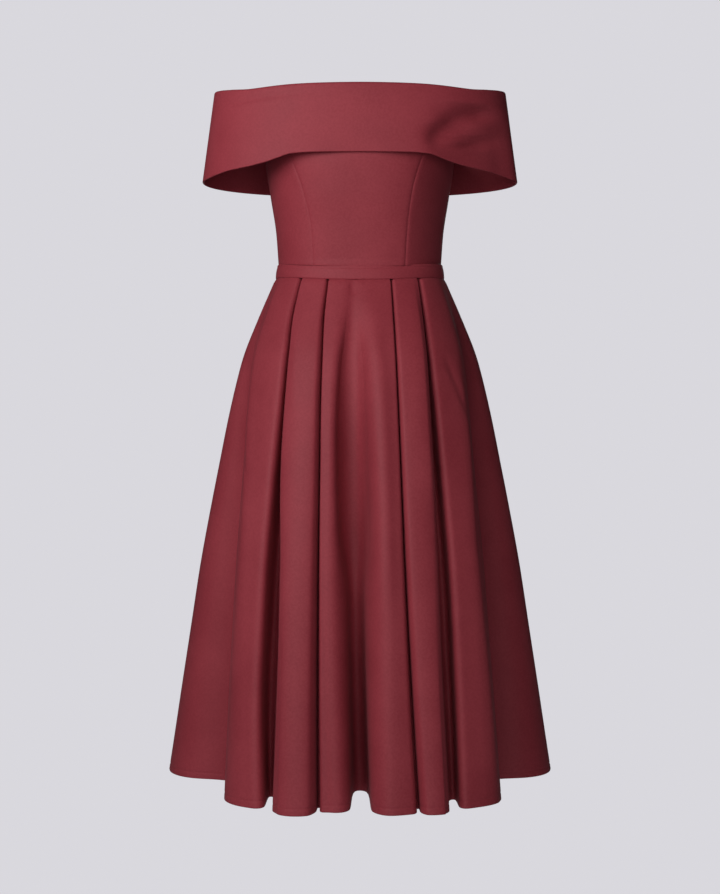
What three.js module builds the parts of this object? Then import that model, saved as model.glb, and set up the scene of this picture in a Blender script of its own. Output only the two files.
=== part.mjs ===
import * as THREE from "three";

// Off-the-shoulder party dress: fold-over band, seamed bodice, waistband and pleated midi skirt.
// Millimetres. +Z is up, the front faces -Y and the wearer's left is +X.
// The origin is the middle of the waist, level with the side ends of the waist seam.
// Angles are degrees round the body: 0 is centre front, 90 the wearer's left side, 180 centre back.

// Cloth and seams
const clothThickness = 1.6;
const waistbandThickness = 3.2;
const bandThickness = 2.4;
const seamGap = 0.3;

// Waistband
const waistbandHeight = 18.6;
const frontDip = 10.5; // the waistline hangs this much lower at centre front
const waistbandPlan = { side: 130.5, front: 98, back: 96, power: 2.1 };
const waistbandTaper = 2.7;

// Bodice: half sizes of the plan at each height, and how far from the middle its seams lie.
// frontRight and frontLeft are the princess seams, backSeam is the one between back and side back.
const bodiceRows = 7;
const bodicePower = 2.3;
const bodiceTop = { front: 246, side: 199, back: 250 };
const bodiceSections = [
  { height: 19, side: 126, front: 95, back: 92, frontRight: 70, frontLeft: 68, backSeam: 62 },
  { height: 69, side: 129.7, front: 103, back: 94, frontRight: 73, frontLeft: 71, backSeam: 64 },
  { height: 123, side: 138, front: 114, back: 99, frontRight: 85, frontLeft: 78, backSeam: 70 },
  { height: 178, side: 146, front: 121, back: 106, frontRight: 106, frontLeft: 95, backSeam: 80 },
  { height: 246, side: 148, front: 114, back: 116, frontRight: 128, frontLeft: 124, backSeam: 92 },
];

// Fold-over band: it is sewn to the bodice's top edge between the armholes and goes round both arms.
const bandPower = 2.15;
const bandTopPlan = { side: 224.3, front: 119.8, back: 121.8 };
const bandHemPlan = { side: 242.3, front: 127.8, back: 129.8 };
const bandRollRadius = 3.2;
const bandTurnIn = 32; // the inner leg over the arms
const bandFreeing = 26; // past the armhole the inner leg comes free over this width
const armholeFrom = 46; // the bodice's top edge starts to dip for the armhole at this angle
const sewnTo = 78; // and follows the band no further than this one
const flareFrom = 185; // above this height the bodice widens to meet the band
const bandOuterShares = [1, 0.66, 0.33]; // rows of the outer leg, from hem to top
const bandRollTilts = [0, 45, 90, 135, 180];
const bandInnerShares = [0.5, 1];
const bandTopLine = [
  { angle: 0, height: 277 },
  { angle: 23, height: 276.5 },
  { angle: 45, height: 274.5 },
  { angle: 59, height: 278 },
  { angle: 73, height: 282.5 },
  { angle: 90, height: 287 },
  { angle: 120, height: 284 },
  { angle: 180, height: 284 },
];
const bandHemLine = [
  { angle: 0, height: 170.5 },
  { angle: 23, height: 172 },
  { angle: 29, height: 166 },
  { angle: 35, height: 157.5 },
  { angle: 44, height: 149.5 },
  { angle: 55, height: 146 },
  { angle: 90, height: 148.2 },
  { angle: 180, height: 148 },
];

// Skirt: half width at each depth below the waist. The front and back depths fill out in the same way.
const skirtLength = 758.5;
const skirtFront = { waist: 98, hem: 300 };
const skirtBack = { waist: 96, hem: 296 };
const dipFade = 200; // the waistline's dip is gone at this depth
const skirtSections = [
  { drop: 0, side: 130.5 },
  { drop: 67, side: 159.5 },
  { drop: 120, side: 180.3 },
  { drop: 159, side: 191 },
  { drop: 218, side: 204.5 },
  { drop: 286, side: 218 },
  { drop: 343, side: 229.2 },
  { drop: 441, side: 247.2 },
  { drop: 538, side: 262 },
  { drop: 636, side: 277 },
  { drop: 701, side: 286.7 },
  { drop: skirtLength, side: 295.5 },
];
const skirtRows = [0, 20, 52, 95, 145, 215, 310, 420, 535, 650, skirtLength];

// Folds of the skirt, each a row. The four values of a column are at the waist, hip, knee and hem.
// from and to are the crests on both sides of the fold, depth is how far the cloth goes in between
// them and bottom is half the width of its floor. crisp names the side with the pressed edge, and a
// fold with no pressed edge has softShare instead, the part of the rolled cloth on each side, and
// steepness, the turn in degrees over each rolled side. A pressed fold turns by 90 degrees.
// straight is 1 where the fold goes straight back from the front at the hem, and 0 where it goes
// to the middle. puff is how far the crest after the fold stands out at the hem.
const foldDrops = [0, 120, 320, skirtLength];
const frontFolds = [
  {
    from: [-90, -90, -90, -90],
    to: [-66, -58, -45, -36.5],
    depth: [0.5, 13, 45, 93],
    bottom: [12, 22, 40, 60],
    softShare: { from: 0.55, to: 0.45 },
    steepness: [30, 35, 50, 65],
    straight: 0,
    puff: 0,
  },
  {
    from: [-52, -45, -40.5, -33.5],
    to: [-43.6, -36.1, -31.7, -24.2],
    depth: [5.5, 13, 32, 64],
    bottom: [1, 2, 4, 5],
    crisp: "to",
    straight: 1,
    puff: 22,
  },
  {
    from: [-30, -26, -22, -18],
    to: [-21.8, -17.9, -14.9, -11.4],
    depth: [5.5, 8.5, 15, 26],
    bottom: [1, 1.2, 1.4, 1.8],
    crisp: "to",
    straight: 1,
    puff: -14,
  },
  {
    from: [-10, -13, -11.8, -7.4],
    to: [5.5, 8.1, 8.9, 8],
    depth: [1.2, 8, 30, 142],
    bottom: [4, 9, 14, 10],
    softShare: { from: 0.5, to: 0.5 },
    steepness: [30, 35, 45, 90],
    straight: 1,
    puff: 8,
  },
  {
    from: [20.6, 16.6, 15.3, 14.7],
    to: [29, 25, 23, 20.5],
    depth: [5.5, 8.5, 15, 26],
    bottom: [1, 1.2, 1.4, 1.8],
    crisp: "from",
    straight: 1,
    puff: 20,
  },
  {
    from: [43, 33.7, 30.5, 24.1],
    to: [51.5, 43, 39, 32.5],
    depth: [5.5, 13, 30, 58],
    bottom: [1, 2, 4, 5],
    crisp: "from",
    straight: 1,
    puff: 10,
  },
  {
    from: [61, 52, 44, 37],
    to: [90, 90, 90, 90],
    depth: [0.5, 15, 48, 98],
    bottom: [12, 22, 40, 60],
    softShare: { from: 0.45, to: 0.55 },
    steepness: [30, 45, 60, 70],
    straight: 0,
    puff: 0,
  },
];
const backFolds = [
  {
    from: [90, 90, 90, 90],
    to: [115, 121, 133, 141],
    depth: [0.5, 12, 42, 84],
    bottom: [12, 22, 38, 52],
    softShare: { from: 0.58, to: 0.42 },
    steepness: [30, 40, 55, 65],
    straight: 0,
    puff: 8,
  },
  {
    from: [128, 136, 141, 147],
    to: [136.4, 145, 149, 155.5],
    depth: [5.5, 13, 30, 58],
    bottom: [1, 2, 4, 5],
    crisp: "to",
    straight: 1,
    puff: 7,
  },
  {
    from: [150, 155.5, 159, 162.5],
    to: [158, 162.5, 166, 169.5],
    depth: [5.5, 9, 18, 38],
    bottom: [1, 1.4, 2, 3],
    crisp: "to",
    straight: 1,
    puff: 0,
  },
  {
    from: [201, 197, 195, 191.5],
    to: [209.5, 205, 202, 198.5],
    depth: [5.5, 9, 17, 34],
    bottom: [1, 1.4, 2, 3],
    crisp: "from",
    straight: 1,
    puff: 8,
  },
  {
    from: [223, 215, 211, 206],
    to: [231.5, 224, 219.5, 214.5],
    depth: [5.5, 13, 32, 62],
    bottom: [1, 2, 4, 5],
    crisp: "from",
    straight: 1,
    puff: 7,
  },
  {
    from: [244, 238, 228, 220],
    to: [270, 270, 270, 270],
    depth: [0.5, 13, 44, 88],
    bottom: [12, 22, 36, 50],
    softShare: { from: 0.4, to: 0.6 },
    steepness: [30, 40, 55, 65],
    straight: 0,
    puff: 0,
  },
];
const crispRadius = 2.8;
const steepestRoll = 1.2;
const rollSteps = 4;
const floorSteps = 1;
const crestShares = [0.33, 0.67];
const mostStretch = 1.3;

// Concealed zip at centre back
const zipTape = { width: 22, thickness: 1, clear: 1.1 };
const zipTapeRows = [-178, -120, -60, 0, 19, 60, 123, 178, 215, 244];
const zipSlider = { width: 6, length: 17, thickness: 2, top: 243, narrowing: 0.6 };

const clothColour = 0x8a3b44;
const bandColour = 0x904048;
const zipColour = 0x7a333c;

// Small helpers
const { clamp, degToRad, lerp, radToDeg, smoothstep } = THREE.MathUtils;
const smallAngle = 0.5;

// Smooth curve through a few values at rising places, with no overshoot between them.
function smoothThrough(places, values, place) {
  const last = places.length - 1;
  const at = clamp(place, places[0], places[last]);
  let i = 0;
  while (i < last - 1 && at > places[i + 1]) i += 1;
  const slope = (k) => (values[k + 1] - values[k]) / (places[k + 1] - places[k]);
  const tangent = (k) => {
    if (k === 0) return slope(0);
    if (k === last) return slope(last - 1);
    const both = slope(k - 1) * slope(k);
    return both <= 0 ? 0 : (2 * both) / (slope(k - 1) + slope(k));
  };
  const span = places[i + 1] - places[i];
  const t = (at - places[i]) / span;
  const rise = t * t * (3 - 2 * t);
  const start = t * (1 - t) * (1 - t) * span * tangent(i);
  const end = t * t * (1 - t) * span * tangent(i + 1);
  return lerp(values[i], values[i + 1], rise) + start - end;
}

function column(table, place, name, at) {
  return smoothThrough(
    table.map((row) => row[place]),
    table.map((row) => row[name]),
    at,
  );
}

// A plan is a rounded oval: an ellipse at power 2, squarer above it.
function planPoint(angle, plan) {
  const sine = Math.sin(degToRad(angle));
  const cosine = Math.cos(degToRad(angle));
  const bend = 2 / plan.power;
  const depth = cosine > 0 ? plan.front : plan.back;
  return new THREE.Vector2(
    plan.side * Math.sign(sine) * Math.abs(sine) ** bend,
    -depth * Math.sign(cosine) * Math.abs(cosine) ** bend,
  );
}

// Angle on a plan at a distance x from the middle, on the front.
function angleAt(x, plan) {
  return radToDeg(Math.asin(clamp(Math.abs(x) / plan.side, 0, 1) ** (plan.power / 2))) * Math.sign(x);
}

// Degrees that make a length along the plan, near an angle.
function degreesFor(length, angle, plan) {
  const before = planPoint(angle - smallAngle, plan);
  const after = planPoint(angle + smallAngle, plan);
  return (length * 2 * smallAngle) / after.distanceTo(before);
}

// Outward direction of a plan at an angle.
function outwardAt(angle, pointAt) {
  const along = pointAt(angle + smallAngle).sub(pointAt(angle - smallAngle)).normalize();
  return new THREE.Vector2(along.y, -along.x);
}

// Outward directions along a line of plan points that runs anticlockwise, seen from above.
// The stretch keeps the wall's thickness where the line turns, and the ends face as the seams do.
function outwards(line, ends) {
  const last = line.length - 1;
  const step = (i) => line[i + 1].clone().sub(line[i]).normalize();
  return line.map((_, i) => {
    if (i === 0 || i === last) return ends[i ? 1 : 0];
    const after = step(i);
    const along = step(i - 1).add(after).normalize();
    const stretch = Math.min(1 / Math.max(along.dot(after), 0.5), mostStretch);
    return new THREE.Vector2(along.y, -along.x).multiplyScalar(stretch);
  });
}

// Closed wall over a grid of columns along the cloth and rows up it. Each entry has its outer and
// inner point. Columns run anticlockwise, seen from above.
function wall(name, grid, colour) {
  const rows = grid.length;
  const columns = grid[0].length;
  const points = [];
  for (const face of ["outer", "inner"]) {
    for (const row of grid) {
      for (const entry of row) points.push(entry[face].x, entry[face].y, entry[face].z);
    }
  }
  const index = [];
  const outer = (r, c) => r * columns + c;
  const inner = (r, c) => (rows + r) * columns + c;
  const quad = (a, b, c, d) => index.push(a, b, c, a, c, d);
  for (let r = 0; r < rows - 1; r += 1) {
    for (let c = 0; c < columns - 1; c += 1) {
      quad(outer(r, c), outer(r, c + 1), outer(r + 1, c + 1), outer(r + 1, c));
      quad(inner(r, c), inner(r + 1, c), inner(r + 1, c + 1), inner(r, c + 1));
    }
    quad(outer(r, 0), outer(r + 1, 0), inner(r + 1, 0), inner(r, 0));
    const end = columns - 1;
    quad(outer(r, end), inner(r, end), inner(r + 1, end), outer(r + 1, end));
  }
  for (let c = 0; c < columns - 1; c += 1) {
    const top = rows - 1;
    quad(outer(0, c), inner(0, c), inner(0, c + 1), outer(0, c + 1));
    quad(outer(top, c), outer(top, c + 1), inner(top, c + 1), inner(top, c));
  }
  const geometry = new THREE.BufferGeometry();
  geometry.setAttribute("position", new THREE.Float32BufferAttribute(points, 3));
  geometry.setIndex(index);
  geometry.computeVertexNormals();
  return new THREE.Mesh(geometry, clothMaterial(name, colour));
}

function clothMaterial(name, colour) {
  return new THREE.MeshStandardMaterial({ name, color: colour, roughness: 0.62, metalness: 0 });
}

// A wall's row: plan points moved in by the thickness, at the height of each point.
function wallRow(line, heights, thickness, ends) {
  const away = outwards(line, ends);
  return line.map((point, i) => {
    const inside = point.clone().addScaledVector(away[i], -thickness);
    return {
      outer: new THREE.Vector3(point.x, point.y, heights[i]),
      inner: new THREE.Vector3(inside.x, inside.y, heights[i]),
    };
  });
}

function spread(from, to, count) {
  return Array.from({ length: count + 1 }, (_, i) => lerp(from, to, i / count));
}

// Angles of a piece's two ends on a plan, each half a seam gap short of its seam.
function trimmed(from, to, plan) {
  const half = seamGap / 2;
  const first = from + degreesFor(half, from + smallAngle, plan);
  return [first, to - degreesFor(half, to - smallAngle, plan)];
}

function dipAt(angle) {
  return frontDip * Math.max(Math.cos(degToRad(angle)), 0) ** 2;
}

// Waistband
function waistbandPiece(name, from, to, steps) {
  const angles = spread(...trimmed(from, to, waistbandPlan), steps);
  const grid = [0, 0.5, 1].map((share) => {
    const plan = { ...waistbandPlan };
    for (const size of ["side", "front", "back"]) plan[size] -= waistbandTaper * share;
    const pointAt = (angle) => planPoint(angle, plan);
    const heights = angles.map((angle) => waistbandHeight * share - dipAt(angle));
    const ends = [from, to].map((angle) => outwardAt(angle, pointAt));
    return wallRow(angles.map(pointAt), heights, waistbandThickness, ends);
  });
  return wall(name, grid, clothColour);
}

// Bodice
function bodicePlan(height) {
  const at = (name) => column(bodiceSections, "height", name, height);
  return { side: at("side"), front: at("front"), back: at("back"), power: bodicePower };
}

// Distance of an angle from the nearer of centre front and centre back, and its end of the dress.
function fromMiddle(angle) {
  const turned = ((angle + 180) % 360) - 180;
  const size = Math.abs(turned);
  return size > 90 ? { angle: 180 - size, end: "back" } : { angle: size, end: "front" };
}

function bodiceTopAt(angle) {
  const place = fromMiddle(angle);
  const share = smoothstep(place.angle, armholeFrom, 90);
  return lerp(bodiceTop[place.end], bodiceTop.side, share);
}

// Depth of the band's inner leg at a distance x from the middle.
function bandLegDepth(x, end) {
  const inset = 2 * bandRollRadius - clothThickness / 2;
  const share = Math.min(Math.abs(x) / (bandTopPlan.side - inset), 1);
  return (bandTopPlan[end] - inset) * (1 - share ** bandPower) ** (1 / bandPower);
}

function bodicePoint(angle, height) {
  const point = planPoint(angle, bodicePlan(height));
  const place = fromMiddle(angle);
  const sewn = 1 - smoothstep(place.angle, armholeFrom, sewnTo);
  const flare = sewn * smoothstep(height, flareFrom, bodiceTop[place.end]);
  point.y = lerp(point.y, Math.sign(point.y) * bandLegDepth(point.x, place.end), flare);
  return point;
}

// How far round from the middle a bodice seam lies at a height.
function seamTurn(seam, height) {
  return angleAt(column(bodiceSections, "height", seam, height), bodicePlan(height));
}

// Angle of each bodice seam at a height. The names are those of the wearer's side.
const bodiceSeams = {
  frontRight: (height) => -seamTurn("frontRight", height),
  frontLeft: (height) => seamTurn("frontLeft", height),
  sideLeft: () => 90,
  backLeft: (height) => 180 - seamTurn("backSeam", height),
  centreBack: () => 180,
  backRight: (height) => 180 + seamTurn("backSeam", height),
  sideRight: () => 270,
  frontRightFromBehind: (height) => 360 - seamTurn("frontRight", height),
};

function bodicePiece(name, fromSeam, toSeam, steps) {
  const foot = waistbandHeight + seamGap;
  const grid = spread(0, 1, bodiceRows).map((share) => {
    const nominal = lerp(foot, bodiceTop.front, share);
    const from = bodiceSeams[fromSeam](nominal);
    const to = bodiceSeams[toSeam](nominal);
    const angles = spread(...trimmed(from, to, bodicePlan(nominal)), steps);
    const heights = angles.map((angle) => lerp(foot - dipAt(angle), bodiceTopAt(angle), share));
    const line = angles.map((angle, i) => bodicePoint(angle, heights[i]));
    const ends = [
      outwardAt(from, (angle) => bodicePoint(angle, heights[0])),
      outwardAt(to, (angle) => bodicePoint(angle, heights[steps])),
    ];
    return wallRow(line, heights, clothThickness, ends);
  });
  return wall(name, grid, clothColour);
}

// Fold-over band
function bandPiece(name, from, to, steps) {
  const angles = spread(...trimmed(from, to, { ...bandHemPlan, power: bandPower }), steps);
  const level = (table, angle) => {
    const place = fromMiddle(angle);
    return column(table, "angle", "height", place.end === "back" ? 180 - place.angle : place.angle);
  };
  const middle = angles.map((angle) => level(bandTopLine, angle) - bandThickness / 2 - bandRollRadius);
  const foldLine = (share) => {
    const plan = { power: bandPower };
    for (const size of ["side", "front", "back"]) {
      plan[size] = lerp(bandTopPlan[size], bandHemPlan[size], share);
    }
    const pointAt = (angle) => planPoint(angle, plan);
    const line = angles.map(pointAt);
    const ends = [from, to].map((angle) => outwardAt(angle, pointAt));
    return { line, away: outwards(line, ends) };
  };
  const { line: topLine, away: topAway } = foldLine(0);
  // Each station is a point of the section: inward from the top line, height, and how it faces.
  const stations = [];
  for (const share of bandOuterShares) {
    const { line, away } = foldLine(share);
    stations.push(
      angles.map((angle, i) => ({
        centre: line[i],
        away: away[i],
        height: lerp(middle[i], level(bandHemLine, angle), share),
        tilt: 0,
      })),
    );
  }
  for (const tilt of bandRollTilts) {
    const turn = degToRad(tilt);
    stations.push(
      angles.map((angle, i) => ({
        centre: topLine[i].clone().addScaledVector(topAway[i], bandRollRadius * (Math.cos(turn) - 1)),
        away: topAway[i],
        height: middle[i] + bandRollRadius * Math.sin(turn),
        tilt,
      })),
    );
  }
  for (const share of bandInnerShares) {
    stations.push(
      angles.map((angle, i) => {
        const place = fromMiddle(angle);
        const centre = topLine[i].clone().addScaledVector(topAway[i], -2 * bandRollRadius);
        const sewnEdge = bodiceTop[place.end] + seamGap;
        const freeEdge = middle[i] - bandTurnIn + bandRollRadius;
        const armholeEdge = planPoint(armholeFrom, bodicePlan(bodiceTop.front)).x;
        const free = smoothstep(Math.abs(centre.x), armholeEdge, armholeEdge + bandFreeing);
        const foot = lerp(sewnEdge, Math.max(freeEdge, sewnEdge), free);
        return { centre, away: topAway[i], height: lerp(middle[i], foot, share), tilt: 180 };
      }),
    );
  }
  const half = bandThickness / 2;
  const grid = stations.map((row) =>
    row.map(({ centre, away, height, tilt }) => {
      const sideways = half * Math.cos(degToRad(tilt));
      const upwards = half * Math.sin(degToRad(tilt));
      const place = (sign) =>
        new THREE.Vector3(
          centre.x + sign * away.x * sideways,
          centre.y + sign * away.y * sideways,
          height + sign * upwards,
        );
      return { outer: place(1), inner: place(-1) };
    }),
  );
  return wall(name, grid, bandColour);
}

// Skirt
function skirtPlan(drop) {
  const side = column(skirtSections, "drop", "side", drop);
  const waistSide = skirtSections[0].side;
  const fullness = (side - waistSide) / (skirtSections.at(-1).side - waistSide);
  return {
    side,
    front: lerp(skirtFront.waist, skirtFront.hem, fullness),
    back: lerp(skirtBack.waist, skirtBack.hem, fullness),
    power: lerp(waistbandPlan.power, 2, fullness),
  };
}

// Section of one fold in its own flat frame: along the cloth's line and in from it. Each side rolls
// in, runs straight down where the fold is deep, and meets the other in a rounded floor.
function foldSection(fold, width, depth, bottom, turn) {
  const free = width - 2 * bottom;
  const rolls = { from: crispRadius, to: crispRadius };
  if (fold.softShare) {
    rolls.from = free * fold.softShare.from;
    rolls.to = free * fold.softShare.to;
  } else {
    rolls[fold.crisp === "from" ? "to" : "from"] = free - crispRadius;
  }
  const rolled = (share, across, down) => {
    const at = degToRad(turn * share);
    const whole = degToRad(turn);
    const along = (across * Math.sin(at)) / Math.sin(whole);
    return { along, inward: (down * (1 - Math.cos(at))) / (1 - Math.cos(whole)) };
  };
  const half = (roll) => {
    const floorRise = Math.min((depth * bottom) / (bottom + roll), steepestRoll * bottom);
    const fall = Math.min(steepestRoll * roll, depth - floorRise);
    const steps = roll > crispRadius ? rollSteps : rollSteps - 1;
    const side = spread(0, 1, steps).map((share) => rolled(share, roll, fall));
    const floor = spread(1, 0, floorSteps).map((share) => {
      const { along, inward } = rolled(share, bottom, floorRise);
      return { along: roll + bottom - along, inward: depth - inward };
    });
    return [...side, ...floor];
  };
  const left = half(rolls.from);
  const right = half(rolls.to).map(({ along, inward }) => ({ along: width - along, inward }));
  return [...left, ...right.reverse().slice(1)];
}

// Line of the skirt in plan at one depth below the waist, with all its folds.
function skirtLine(folds, drop, fromAngle, toAngle) {
  const plan = skirtPlan(drop);
  const fall = drop / skirtLength;
  const at = (values) => smoothThrough(foldDrops, values, drop);
  const line = [];
  const angles = [];
  const add = (angle, inward, straight = 0) => {
    const point = planPoint(angle, plan);
    const focus = new THREE.Vector2(point.x * straight * smoothstep(fall, 0, 1), 0);
    const direction = focus.sub(point).normalize();
    line.push(point.addScaledVector(direction, inward));
    angles.push(angle);
  };
  const crest = (start, end, shares, puff) => {
    for (const share of shares) {
      add(lerp(start, end, share), -puff * fall * 4 * share * (1 - share));
    }
  };
  let reached = fromAngle;
  let puff = 0;
  folds.forEach((fold, i) => {
    const from = Math.max(at(fold.from), fromAngle);
    const to = Math.min(at(fold.to), toAngle);
    const width = (to - from) / degreesFor(1, (from + to) / 2, plan);
    if (from > reached) crest(reached, from, i ? crestShares : [0, ...crestShares], puff);
    const turn = fold.steepness ? at(fold.steepness) : 90;
    for (const { along, inward } of foldSection(fold, width, at(fold.depth), at(fold.bottom), turn)) {
      add(lerp(from, to, along / width), inward, fold.straight);
    }
    reached = to;
    puff = fold.puff;
  });
  if (reached < toAngle) crest(reached, toAngle, [...crestShares, 1], puff);
  return { line, angles };
}

function skirtPiece(name, folds, fromAngle, toAngle) {
  const grid = [...skirtRows].reverse().map((drop) => {
    const plan = skirtPlan(drop);
    const pointAt = (angle) => planPoint(angle, plan);
    const { line, angles } = skirtLine(folds, drop, ...trimmed(fromAngle, toAngle, plan));
    const dipShare = 1 - smoothstep(drop, 0, dipFade);
    const heights = angles.map((angle) => -seamGap - drop - dipAt(angle) * dipShare);
    const ends = [fromAngle, toAngle].map((angle) => outwardAt(angle, pointAt));
    return wallRow(line, heights, clothThickness, ends);
  });
  return wall(name, grid, clothColour);
}

// Concealed zip: a tape behind the centre back seam, and a slider that lies under the band.
function zipTapePiece() {
  const insideAt = (height) => {
    if (height > waistbandHeight) return { plan: bodicePlan(height), thickness: clothThickness };
    return { plan: skirtPlan(Math.max(-height, 0)), thickness: waistbandThickness };
  };
  const grid = zipTapeRows.map((height) => {
    const { plan, thickness } = insideAt(height);
    const half = degreesFor(zipTape.width / 2, 180, plan);
    const pointAt = (angle) => planPoint(angle, plan);
    const angles = spread(180 - half, 180 + half, 4);
    const inset = thickness + zipTape.clear;
    const line = angles.map((angle) => pointAt(angle).addScaledVector(outwardAt(angle, pointAt), -inset));
    const ends = [angles[0], angles.at(-1)].map((angle) => outwardAt(angle, pointAt));
    return wallRow(line, line.map(() => height), zipTape.thickness, ends);
  });
  return wall("zip_tape", grid, zipColour);
}

function zipSliderPiece() {
  const radius = zipSlider.width / 2;
  const outline = new THREE.Shape();
  outline.absarc(0, 0, radius, Math.PI, 2 * Math.PI);
  outline.lineTo(radius * zipSlider.narrowing, zipSlider.length - radius);
  outline.lineTo(-radius * zipSlider.narrowing, zipSlider.length - radius);
  const geometry = new THREE.ExtrudeGeometry(outline, {
    depth: zipSlider.thickness,
    bevelEnabled: false,
    curveSegments: 8,
  });
  geometry.deleteAttribute("normal");
  geometry.deleteAttribute("uv");
  geometry.rotateX(Math.PI / 2);
  const foot = zipSlider.top - zipSlider.length;
  const footDepth = bodicePoint(180, foot).y;
  const topDepth = bodicePoint(180, zipSlider.top).y;
  const mesh = new THREE.Mesh(geometry, clothMaterial("zip_slider", zipColour));
  mesh.rotation.x = -Math.atan2(topDepth - footDepth, zipSlider.length);
  mesh.position.set(0, footDepth + zipSlider.thickness + 2 * seamGap, foot + radius);
  return mesh;
}

const dress = new THREE.Group();
const pieces = [
  bodicePiece("bodice_front", "frontRight", "frontLeft", 8),
  bodicePiece("bodice_side_front_left", "frontLeft", "sideLeft", 6),
  bodicePiece("bodice_side_back_left", "sideLeft", "backLeft", 6),
  bodicePiece("bodice_back_left", "backLeft", "centreBack", 4),
  bodicePiece("bodice_back_right", "centreBack", "backRight", 4),
  bodicePiece("bodice_side_back_right", "backRight", "sideRight", 6),
  bodicePiece("bodice_side_front_right", "sideRight", "frontRightFromBehind", 6),
  waistbandPiece("waistband_front", -90, 90, 22),
  waistbandPiece("waistband_back_left", 90, 180, 11),
  waistbandPiece("waistband_back_right", 180, 270, 11),
  bandPiece("band_front", -90, 90, 26),
  bandPiece("band_back_left", 90, 180, 13),
  bandPiece("band_back_right", 180, 270, 13),
  skirtPiece("skirt_front", frontFolds, -90, 90),
  skirtPiece("skirt_back_left", backFolds.slice(0, 3), 90, 180),
  skirtPiece("skirt_back_right", backFolds.slice(3), 180, 270),
  zipTapePiece(),
  zipSliderPiece(),
];
for (const piece of pieces) {
  piece.name = piece.material.name;
  dress.add(piece);
}

export default dress;
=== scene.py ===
# %% [markdown]
# # An off-the-shoulder party dress
#
# A burgundy dress with a wide fold-over band, a seamed bodice, a narrow waistband and a
# pleated midi skirt. It is shown filled out, as if worn, with no wearer inside. Every sewn
# piece is built here as a thin closed shell of cloth, worked out from a few named sizes.
#
# The first step loads the plain solids of the dress. They set every size: the cloth that is
# built below lies where they lie, and each finished piece then stands in for its solid.

import math

import bmesh
import bpy
import numpy as np
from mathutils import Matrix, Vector


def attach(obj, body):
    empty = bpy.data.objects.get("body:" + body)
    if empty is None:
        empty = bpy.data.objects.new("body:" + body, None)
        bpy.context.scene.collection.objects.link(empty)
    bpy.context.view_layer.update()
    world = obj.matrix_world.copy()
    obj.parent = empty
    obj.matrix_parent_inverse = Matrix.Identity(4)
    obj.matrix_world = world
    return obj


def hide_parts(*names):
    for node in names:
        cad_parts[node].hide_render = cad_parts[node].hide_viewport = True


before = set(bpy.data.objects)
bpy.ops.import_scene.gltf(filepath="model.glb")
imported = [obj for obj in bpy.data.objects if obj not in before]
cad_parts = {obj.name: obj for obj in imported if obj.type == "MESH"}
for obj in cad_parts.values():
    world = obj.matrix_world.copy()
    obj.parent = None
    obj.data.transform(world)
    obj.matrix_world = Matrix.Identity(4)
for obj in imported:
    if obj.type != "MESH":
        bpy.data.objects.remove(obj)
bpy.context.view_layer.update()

# %% [markdown]
# ## The camera
#
# The photograph was taken from straight ahead, level, at about the height of the hips, from a
# little over two metres. A long lens keeps the width of the skirt and the band in proportion.
# The dress is 1.55 mm for each pixel at the waist, which gives the distance and the lens
# together. The origin of the dress is the middle of its waist seam, so the camera sits lower.

# %% Camera
MM = 0.001
picture_height = 894
millimetres_a_pixel = 1.55
camera_distance = 2349
camera_height = -261
sensor = 36


def placed(name, data):
    """A new object with this data, put into the scene."""
    made = bpy.data.objects.new(name, data)
    bpy.context.scene.collection.objects.link(made)
    return made


lens_pixels = camera_distance / millimetres_a_pixel
camera_data = bpy.data.cameras.new("camera")
camera_data.sensor_width = sensor
camera_data.lens = lens_pixels / picture_height * sensor
camera = placed("camera", camera_data)
camera.location = (0, -camera_distance * MM, camera_height * MM)
camera.rotation_euler = (math.radians(90), 0, 0)
bpy.context.scene.camera = camera
print("lens:", round(camera_data.lens, 2), "mm")

# %% [markdown]
# ## Shader maths as plain expressions
#
# A material in Blender is a web of nodes. Wiring each sum by hand hides what it means, so a
# small class wraps a socket and lets Python's own operators add the Math nodes: `1 - mask`
# makes a Subtract node. A second class holds the node tree and makes every other node through
# one method, which takes the node's type, its settings and what goes into its sockets.


# %% Wires
class Wire:
    """A socket that can stand in a Python expression."""

    def __init__(self, recipe, socket):
        self.recipe = recipe
        self.socket = socket

    def maths(self, operation, first, second=0.0):
        return self.recipe.node("ShaderNodeMath", {"operation": operation}, {0: first, 1: second})

    def __add__(self, other):
        return self.maths("ADD", self, other)

    def __radd__(self, other):
        return self.maths("ADD", other, self)

    def __sub__(self, other):
        return self.maths("SUBTRACT", self, other)

    def __rsub__(self, other):
        return self.maths("SUBTRACT", other, self)

    def __mul__(self, other):
        return self.maths("MULTIPLY", self, other)

    def __rmul__(self, other):
        return self.maths("MULTIPLY", other, self)

    def sine(self):
        return self.maths("SINE", self)

    def wave(self, pitch):
        """Swings between 0 and 1, once in each pitch."""
        return (self * (2 * math.pi / pitch)).sine() * 0.5 + 0.5

    def band(self, low, high):
        """Runs smoothly from 0 at low to 1 at high."""
        settings = {"interpolation_type": "SMOOTHSTEP"}
        return self.recipe.node("ShaderNodeMapRange", settings, {0: self, 1: low, 2: high})


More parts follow.
